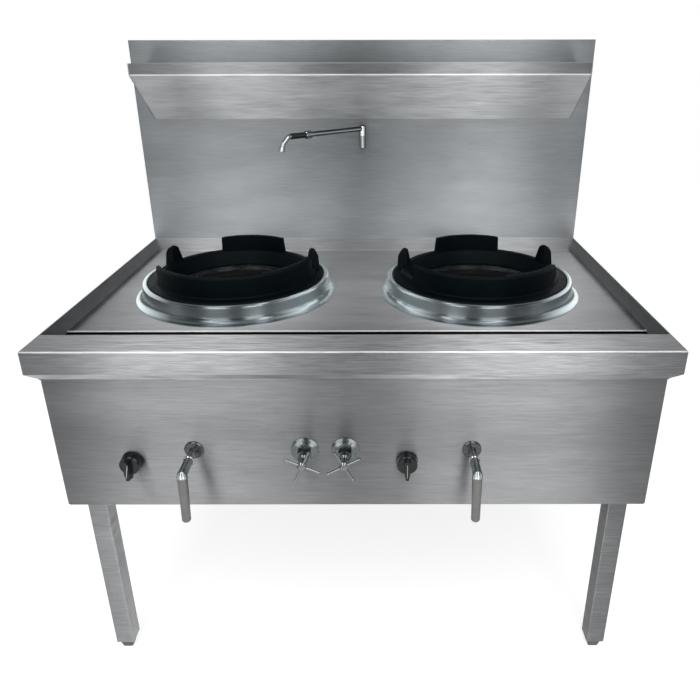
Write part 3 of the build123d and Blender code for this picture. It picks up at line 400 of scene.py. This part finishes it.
def spun(name, node):
    """Sheet spun and polished on a lathe: fine rings round the middle of the node.

    Painted light: the up-facing foot and lip get painted highlights at their sides and painted
    shade towards their middle, and the wall is evenly bright.
    """
    s = Shader(name)
    low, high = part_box(node)
    middle, radius = (low + high) / 2, (high.x - low.x) / 2
    place = s.vector("SUBTRACT", s.place, (middle.x, middle.y, 0.0))
    flat = s.vector("MULTIPLY", place, (1.0, 1.0, 0.0))
    lines = s.node("CombineXYZ")
    s.join(s.length(flat), lines.inputs["X"])
    s.join(s.axis("Z"), lines.inputs["Z"])
    rings = s.noise(700.0, lines.outputs["Vector"], detail=2.0)
    clouds = s.noise(7.0, detail=2.0)
    aside = s.math("ABSOLUTE", s.part(place, "X"))
    # Painted highlights at the sides of the up-facing foot and lip, painted shade towards their
    # middle.
    ends = s.span(aside, 0.28, 2.3, start=0.45 * radius, end=0.9 * radius)
    up = s.span(s.looks("Z"), 0.0, 1.0, start=0.1, end=0.3)
    level = s.times(s.span(rings, 0.94, 1.06), s.span(clouds, 0.94, 1.06), s.pick(up, 1.45, ends))
    s.set(
        Base_Color=s.tinted(level, COLLAR_COLOUR),
        Metallic=1.0,
        Roughness=COLLAR_GLOSS,
        Anisotropic=0.8,
    )
    s.across(s.vector("CROSS_PRODUCT", (0.0, 0.0, 1.0), flat), length=0.1)
    return s.material


def plain_metal(name, colour, roughness, scuff=0.08, scale=60.0, rim=None):
    """Even metal with faint scuffs; a given rim colour is a painted dark reflection on round
    parts where they turn away from the front.
    """
    s = Shader(name)
    scuffs = s.noise(scale, detail=4.0)
    tone = s.mottled(scuffs, tuple(c * (1 - scuff) for c in colour), colour)
    # Painted reflection: the rim colour where the face turns away from the front.
    if rim:
        facing = s.span(s.math("ABSOLUTE", s.looks("Y")), 0.0, 1.0, 0.45, 0.95, smooth=True)
        tone = s.mix(facing, rim, tone)
    s.set(
        Base_Color=tone,
        Metallic=1.0,
        Roughness=s.span(scuffs, roughness * 0.8, roughness * 1.25),
    )
    s.bump(scuffs, distance=0.05 * MM, strength=0.3)
    return s.material


def lever_metal(name):
    """Control lever: polished neck and sleeve, and a handle brushed to a warm grey."""
    s = Shader(name)
    scuffs = s.noise(90.0, detail=4.0)
    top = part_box("control_lever_left")[1].z
    lower = s.math("LESS_THAN", s.axis("Z"), top - LEVER_POLISHED)
    forward = s.math("LESS_THAN", s.axis("Y"), PANEL_LOW.y - LEVER_BEND)
    handle = s.times(lower, forward)
    warm = s.mottled(scuffs, (0.135, 0.137, 0.134), (0.165, 0.167, 0.162))
    bright = s.mottled(scuffs, (0.24, 0.265, 0.275), (0.40, 0.43, 0.44))
    s.set(
        Base_Color=s.mix(handle, bright, warm),
        Metallic=1.0,
        Roughness=s.pick(handle, 0.16, 0.36),
    )
    s.bump(scuffs, distance=0.05 * MM, strength=0.3)
    return s.material


def cast_iron(name, colour):
    """Black coated cast iron: sand-cast grain under a soft sheen."""
    s = Shader(name)
    grain = s.noise(420.0, detail=5.0, roughness=0.6)
    lumps = s.noise(60.0)
    s.set(
        Base_Color=s.mottled(lumps, colour, tuple(1.7 * c for c in colour)),
        Metallic=0.0,
        Roughness=s.span(lumps, 0.42, 0.56),
        Specular_IOR_Level=0.07,
        Specular_Tint=(0.72, 0.96, 1.0, 1.0),
    )
    s.bump(s.math("ADD", grain, lumps), distance=0.5 * MM, strength=0.45)
    return s.material


def fired_clay(name):
    """Refractory lining, near black, rough and mottled."""
    s = Shader(name)
    grain = s.noise(160.0, detail=6.0, roughness=0.65)
    stains = s.noise(14.0, detail=4.0)
    s.set(
        Base_Color=s.mottled(stains, (0.003, 0.003, 0.003), (0.008, 0.008, 0.008)),
        Roughness=0.92,
    )
    s.bump(grain, distance=1.5 * MM, strength=0.7)
    return s.material


def moulded(name, colour, roughness, shine=0.5):
    """Moulded plastic with a fine texture."""
    s = Shader(name)
    grain = s.noise(500.0, detail=2.0)
    s.set(
        Base_Color=s.mottled(grain, colour, tuple(1.25 * c for c in colour)),
        Roughness=s.span(grain, roughness * 0.85, roughness * 1.2),
        Specular_IOR_Level=shine,
    )
    s.bump(grain, distance=0.1 * MM, strength=0.4)
    return s.material


# ------------------------------------------------------------------ materials on the solids
def both(name):
    """Names of the left and the right one of a pair."""
    return [f"{name}_left", f"{name}_right"]


def paint(material, *nodes):
    """Give a material to CAD nodes."""
    for name in nodes:
        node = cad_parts[name]
        node.data.materials.clear()
        node.data.materials.append(material)


def dress_sheets():
    """Brushed sheets and tubes, and the spun collars."""
    rim_fold = (RIM_LOW.y, RIM_TOP)
    deck_fold = (DECK_FRONT, DECK_TOP)
    shelf_fold = (SHELF_LOW.y, SHELF_HIGH.z - SHELF_LIP)
    rim = brushed("rim_steel", "x", tone=0.27, streak=0.25, folds=[rim_fold], shade=rim_shade)
    deck = brushed("deck_steel", "x", tone=0.25, streak=0.10, folds=[deck_fold], shade=deck_shade)
    panel = brushed("panel_steel", "x", tone=0.193, streak=0.13, shade=panel_shade)
    splash_look = dict(tone=0.315, streak=0.08, gloss=0.54, tint=COOL_TINT)
    splash = brushed("splash_steel", "x", **splash_look, shade=splash_shade)
    shelf_look = dict(tone=0.26, streak=0.13, folds=[shelf_fold])
    shelf = brushed("shelf_steel", "x", **shelf_look, shade=shelf_shade)
    leg = brushed("leg_steel", "x", tone=0.33, streak=0.19, shade=leg_shade)
    paint(rim, "top_frame")
    paint(deck, "deck_pan")
    paint(panel, "front_panel", "rear_panel", "burner_brackets")
    paint(splash, "splashback", "rear_cover")
    paint(shelf, "shelf")
    paint(leg, *both("leg_front"), *both("leg_rear"))
    # Painted shade: the gutter's steel is made dark for the shade in the gutter.
    paint(brushed("gutter_steel_painted_shade", "x", tone=0.10), "front_gutter")
    paint(brushed("side_steel", "y"), *both("side_panel"), "shelf_end_caps", "support_rails")
    for name in both("collar"):
        paint(spun(f"polished_{name}", name), name)


def dress_metals():
    """Bolts, chambers, brass, pipes and the sorts of chrome."""
    metals = {
        "bolt_steel": dict(colour=(0.5, 0.5, 0.5), roughness=0.35),
        "chamber_steel": dict(colour=(0.10, 0.10, 0.10), roughness=0.5),
        "brass": dict(colour=(0.62, 0.46, 0.20), roughness=0.32),
        "sooted_brass": dict(colour=(0.05, 0.038, 0.024), roughness=0.5, scuff=0.5),
        "grey_pipe": dict(colour=PIPE_GREY, roughness=0.5),
        "copper": dict(colour=COPPER, roughness=0.3),
        "chrome": dict(colour=(0.27, 0.29, 0.30), roughness=0.08, scuff=0.05, scale=25.0),
        "handle_chrome": dict(colour=(0.19, 0.20, 0.205), roughness=0.10, scuff=0.1),
        # The rim colour on these round chrome parts is a painted dark reflection.
        "wall_chrome": dict(
            colour=(0.20, 0.215, 0.22), roughness=0.08, scuff=0.1, scale=25.0, rim=CHROME_PAINTED_DARK_EDGE
        ),
        "bright_chrome": dict(
            colour=(0.44, 0.47, 0.48), roughness=0.09, scuff=0.05, scale=25.0, rim=CHROME_PAINTED_DARK_EDGE
        ),
        "worn_chrome": dict(colour=(0.15, 0.165, 0.17), roughness=0.20, scuff=0.5, scale=260.0),
        "dark_chrome": dict(colour=(0.10, 0.105, 0.108), roughness=0.24, scuff=0.5, scale=300.0),
    }
    wearers = {
        "bolt_steel": ["splashback_bolts"],
        "chamber_steel": both("burner_chamber"),
        "brass": ["injectors", "gas_valves", "pilot_valves"],
        "sooted_brass": ["burner_jets"],
        "grey_pipe": ["gas_manifold", "supply_pipes"],
        "copper": ["water_inlet_pipe", "faucet_riser", "gutter_flush_pipe", "pilot_burners"],
        "chrome": ["drain_strainer", "drain_outlet"],
        "handle_chrome": both("cross_handle"),
        "wall_chrome": ["faucet_base"],
        "bright_chrome": ["faucet_arm", "faucet_nut", "faucet_spout"],
        "worn_chrome": ["tap_bodies", "tap_flanges"],
        "dark_chrome": ["lever_flanges"],
    }
    for name, look in metals.items():
        paint(plain_metal(name, **look), *wearers[name])
    paint(lever_metal("lever_steel"), *both("control_lever"), *both("pilot_stem"))


def dress_dark_parts():
    """Cast iron, refractory lining and plastic."""
    paint(cast_iron("black_iron", (0.0004, 0.0011, 0.0018)), *both("wok_ring"))
    paint(cast_iron("burner_iron", (0.004, 0.004, 0.0045)), *both("burner"))
    paint(fired_clay("fired_clay"), *both("chamber_lining"))
    black = moulded("black_plastic", (0.004, 0.0045, 0.005), roughness=0.13, shine=0.3)
    paint(black, *both("pilot_knob"), "faucet_grip")
    foot = moulded("foot_plastic", (0.065, 0.065, 0.07), roughness=0.5)
    paint(foot, *both("foot_front"), *both("foot_rear"))


# ------------------------------------------------------------------ small details
# (radius, height) of a screw's head in millimetres, from below its rim to the recess.
SCREW_RIM = [(0, -1.0), (4.2, -1.0), (4.2, 0.3), (3.9, 1.0), (3.0, 1.6), (1.9, 1.85)]
SCREW_RECESS = [(1.7, 1.7), (1.5, 0.7), (0, 0.6)]
SCREW_STEEL = (0.42, 0.42, 0.42)
COVER_SCREW_INSET = (14 * MM, 40 * MM)
PANEL_SCREW_INSET = 30 * MM
PANEL_SCREW_BELOW_TOP = 90 * MM

# Reach of the pointer's line above and below the knob's axis.
POINTER_FROM = -10 * MM
POINTER_TO = 20 * MM
POINTER_WIDTH = 1.3 * MM
POINTER_HEIGHT = 0.25 * MM

NUT_RIDGES = 24
RIDGE_WIDTH = 1.1 * MM
RIDGE_HEIGHT = 0.45 * MM
RIDGE_SUNK = 0.1 * MM
# Share of the nut's length that its ridges cover.
RIDGE_SHARE = 0.7

# (x, z) of the axes of the two inlets at the back.
GAS_INLET = (40 * MM, 480 * MM)
WATER_INLET = (-58 * MM, 518 * MM)
THREAD_INSET = 0.5 * MM
THREAD_SUNK = 0.6 * MM


def add_piece(name, build, material, body):
    """Make an object of a mesh in progress that rides on a body."""
    mesh = bpy.data.meshes.new(name)
    build.normal_update()
    build.to_mesh(mesh)
    build.free()
    piece = bpy.data.objects.new(name, mesh)
    bpy.context.scene.collection.objects.link(piece)
    mesh.materials.append(material)
    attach(piece, body)


def turn(build, outline, place, axis, steps):
    """Closed solid of (radius, height) points turned round an axis from a place."""
    aim = Vector(axis).to_track_quat("Z", "Y").to_matrix().to_4x4()
    aimed = Matrix.Translation(place) @ aim
    rings = []
    for radius, height in outline:
        if radius == 0:
            rings.append([build.verts.new(aimed @ Vector((0, 0, height)))])
            continue
        angles = [tau * k / steps for k in range(steps)]
        spots = [Vector((radius * cos(a), radius * sin(a), height)) for a in angles]
        rings.append([build.verts.new(aimed @ spot) for spot in spots])
    for low, high in zip(rings, rings[1:]):
        for k in range(steps):
            n = (k + 1) % steps
            if len(low) == 1:
                face = (low[0], high[n], high[k])
            elif len(high) == 1:
                face = (low[k], low[n], high[0])
            else:
                face = (low[k], low[n], high[n], high[k])
            build.faces.new(face)
    for face in build.faces:
        face.smooth = True


def wedge(build, start, end, out, width, height):
    """Ridge with a sharp crest and sloped ends, from start to end, standing out."""
    along = end - start
    side = along.cross(out).normalized() * width / 2
    inset = along.normalized() * min(width, along.length / 4)
    sunk = -out * height / 2
    base = [start - side + sunk, start + side + sunk, end + side + sunk, end - side + sunk]
    crest = [start + inset + out * height, end - inset + out * height]
    verts = [build.verts.new(v) for v in base + crest]
    for face in [(3, 2, 1, 0), (0, 1, 4), (2, 3, 5), (1, 2, 5, 4), (3, 0, 4, 5)]:
        build.faces.new([verts[k] for k in face])


def screws(name, places, axis):
    """Dome-headed screws with a round recess."""
    build = bmesh.new()
    outline = [(r * MM, h * MM) for r, h in SCREW_RIM + SCREW_RECESS]
    for place in places:
        turn(build, outline, place, axis, steps=20)
    metal = plain_metal(f"{name}_steel", SCREW_STEEL, roughness=0.3)
    add_piece(name, build, metal, "range_body")


def thread(pipe, axis, radius, length, pitch):
    """Screw thread on a pipe's end, which points back: a closed sleeve of saw-tooth rings."""
    x, z = axis
    place = (x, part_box(pipe)[1].y - length - THREAD_INSET, z)
    inner = radius - THREAD_SUNK
    turns = int(length / pitch)
    outline = [(inner, 0.0)]
    for k in range(turns):
        outline += [(radius, k * pitch), (radius + 0.5 * pitch, (k + 0.5) * pitch)]
    outline += [(radius, turns * pitch), (inner, turns * pitch), (inner, 0.0)]
    build = bmesh.new()
    turn(build, outline, place, (0, 1, 0), steps=32)
    bmesh.ops.remove_doubles(build, verts=build.verts, dist=1e-7)
    return build


def pointer_highlight_line(side):
    """Pale line let into the front of a pilot knob's grip bar: a printed line that also paints
    the highlight along the pointer.
    """
    low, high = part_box(f"pilot_knob_{side}")
    axis_x, axis_z = KNOB_AXIS[side]
    turned_by = radians(KNOB_DEGREES[side])
    down = Vector((sin(turned_by), 0.0, -cos(turned_by)))
    face = Vector((axis_x, low.y, axis_z))
    start, end = face + down * POINTER_FROM, face + down * POINTER_TO
    build = bmesh.new()
    wedge(build, start, end, Vector((0, -1, 0)), POINTER_WIDTH, POINTER_HEIGHT)
    pale_highlight = moulded(f"pointer_highlight_paint_{side}", (0.32, 0.33, 0.34), roughness=0.4)
    add_piece(f"pointer_highlight_line_{side}", build, pale_highlight, f"knob_{side}")


def nut_ridges():
    """Knurled ridges round the faucet's nut."""
    nut, grip = [(low + high) / 2 for low, high in map(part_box, ("faucet_nut", "faucet_grip"))]
    along = (grip - nut).normalized()
    up = along.orthogonal().normalized()
    side = along.cross(up)
    corners = [v.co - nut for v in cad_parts["faucet_nut"].data.vertices]
    radius = max((c - along * c.dot(along)).length for c in corners) - RIDGE_SUNK
    reach = max(c.dot(along) for c in corners) * RIDGE_SHARE
    build = bmesh.new()
    for k in range(NUT_RIDGES):
        angle = tau * k / NUT_RIDGES
        out = up * cos(angle) + side * sin(angle)
        spot = nut + out * radius
        wedge(build, spot - along * reach, spot + along * reach, out, RIDGE_WIDTH, RIDGE_HEIGHT)
    metal = plain_metal("nut_chrome", (0.25, 0.27, 0.28), roughness=0.15)
    add_piece("faucet_nut_ridges", build, metal, "faucet")


def cover_screws():
    """Three screws down each side of the splashback's rear cover."""
    low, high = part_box("rear_cover")
    inset_x, inset_z = COVER_SCREW_INSET
    rows = (low.z + inset_z, (low.z + high.z) / 2, high.z - inset_z)
    columns = (low.x + inset_x, high.x - inset_x)
    screws("rear_cover_screws", [(x, high.y, z) for x in columns for z in rows], (0, 1, 0))


def side_screws(side, out):
    """Four screws on a side panel, which looks out along X by this sign."""
    low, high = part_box(f"side_panel_{side}")
    face = low.x if out < 0 else high.x
    columns = (low.y + PANEL_SCREW_INSET, high.y - PANEL_SCREW_INSET)
    rows = (low.z + PANEL_SCREW_INSET, high.z - PANEL_SCREW_BELOW_TOP)
    screws(f"side_screws_{side}", [(face, y, z) for y in columns for z in rows], (out, 0, 0))


def inlet_threads():
    """Threads at the ends of the gas and the water inlet."""
    grey = plain_metal("gas_thread_steel", PIPE_GREY, roughness=0.5)
    sizes = dict(radius=13.1 * MM, length=12 * MM, pitch=1.8 * MM)
    gas = thread("gas_manifold", GAS_INLET, **sizes)
    add_piece("gas_inlet_thread", gas, grey, "range_body")
    red = plain_metal("water_thread_copper", COPPER, roughness=0.3)
    sizes = dict(radius=7.6 * MM, length=11 * MM, pitch=1.3 * MM)
    water = thread("water_inlet_pipe", WATER_INLET, **sizes)
    add_piece("water_inlet_thread", water, red, "range_body")


# ------------------------------------------------------------------ studio
WHITE = (1.0, 1.0, 1.0, 1.0)
FLOOR_GREY = (0.5, 0.5, 0.5, 1.0)
FLOOR_HALF = 40.0
FLOOR_GLOW = 0.68
WORLD_LIGHT = 0.55
# What metal mirrors in front of the range. Behind it and at the far sides it mirrors white.
ROOM_TONE = 0.25
SKY_POWER = 0.3
SKY_ANGLE = radians(50)
OVER_SIZE = (0.35, 1.2)
STRIP_SIZE = (0.65, 1.8)
# Place, target, size and power of each lamp.
SOFT_BOXES = {
    "over_left": ((-0.78, -0.85, 2.3), (-0.25, -0.25, 0.78), OVER_SIZE, 8.0),
    "over_right": ((0.66, -0.85, 2.3), (0.25, -0.25, 0.78), OVER_SIZE, 8.0),
    "strip_left": ((-0.66, -1.5, 1.15), (-0.3, 0.0, 0.85), STRIP_SIZE, 11.8),
    "strip_right": ((0.54, -1.5, 1.15), (0.3, 0.0, 0.85), STRIP_SIZE, 13.4),
}


def make_floor():
    """White floor that keeps the shadow, with a little light of its own where it is seen."""
    mesh = bpy.data.meshes.new("floor")
    build = bmesh.new()
    bmesh.ops.create_grid(build, x_segments=1, y_segments=1, size=FLOOR_HALF)
    build.to_mesh(mesh)
    build.free()
    floor = bpy.data.objects.new("floor", mesh)
    bpy.context.scene.collection.objects.link(floor)
    s = Shader("floor_white")
    s.set(
        Base_Color=FLOOR_GREY,
        Roughness=1.0,
        Specular_IOR_Level=0.0,
        Emission_Color=WHITE,
        Emission_Strength=s.times(s.seen_directly(), FLOOR_GLOW),
    )
    mesh.materials.append(s.material)


def make_world():
    """Even light, a white background, and a dim room in front for the metal to mirror."""
    world = bpy.data.worlds.new("studio")
    bpy.context.scene.world = world
    world.use_nodes = True
    w = Tree(world.node_tree)
    light = w.nodes["Background"]
    w.join(WHITE, light.inputs["Color"])
    w.join(WORLD_LIGHT, light.inputs["Strength"])

    place = w.node("TexCoord").outputs["Generated"]
    aside = w.math("ABSOLUTE", w.part(place, "X"))
    behind = w.span(w.part(place, "Y"), ROOM_TONE, 1.0, start=-0.3, end=0.3, smooth=True)
    sides = w.span(aside, 0.0, 1.0, start=0.6, end=0.9, smooth=True)
    room = w.math("MAXIMUM", behind, sides)
    backdrop = w.math("MAXIMUM", w.node("LightPath").outputs["Is Camera Ray"], room)

    seen = w.node("Background")
    w.join(WHITE, seen.inputs["Color"])
    w.join(backdrop, seen.inputs["Strength"])
    mix = w.node("MixShader")
    w.join(w.seen_directly(), mix.inputs["Fac"])
    w.join(light.outputs["Background"], mix.inputs[1])
    w.join(seen.outputs["Background"], mix.inputs[2])
    w.join(mix.outputs["Shader"], w.nodes["World Output"].inputs["Surface"])


def lamp(kind, name, place, target, power):
    """Lamp at a place, aimed at a target."""
    data = bpy.data.lights.new(name, kind)
    data.energy = power
    made = bpy.data.objects.new(name, data)
    made.location = place
    made.rotation_euler = (Vector(target) - Vector(place)).to_track_quat("-Z", "Y").to_euler()
    bpy.context.scene.collection.objects.link(made)
    return data


def make_lamps():
    """A soft sky and four soft boxes in front, for the two bright bands on the steel."""
    sky = lamp("SUN", "sky", (0.0, -1.0, 4.0), (0.0, 0.0, 0.0), SKY_POWER)
    sky.angle = SKY_ANGLE
    for name, (place, target, size, power) in SOFT_BOXES.items():
        data = lamp("AREA", name, place, target, power)
        data.shape = "RECTANGLE"
        data.size, data.size_y = size


# ------------------------------------------------------------------ build
bpy.context.scene.view_settings.view_transform = "Standard"
make_camera()

dress_sheets()
dress_metals()
dress_dark_parts()

pointer_highlight_line("left")
pointer_highlight_line("right")
nut_ridges()
cover_screws()
side_screws("left", -1)
side_screws("right", 1)
inlet_threads()

make_floor()
make_world()
make_lamps()
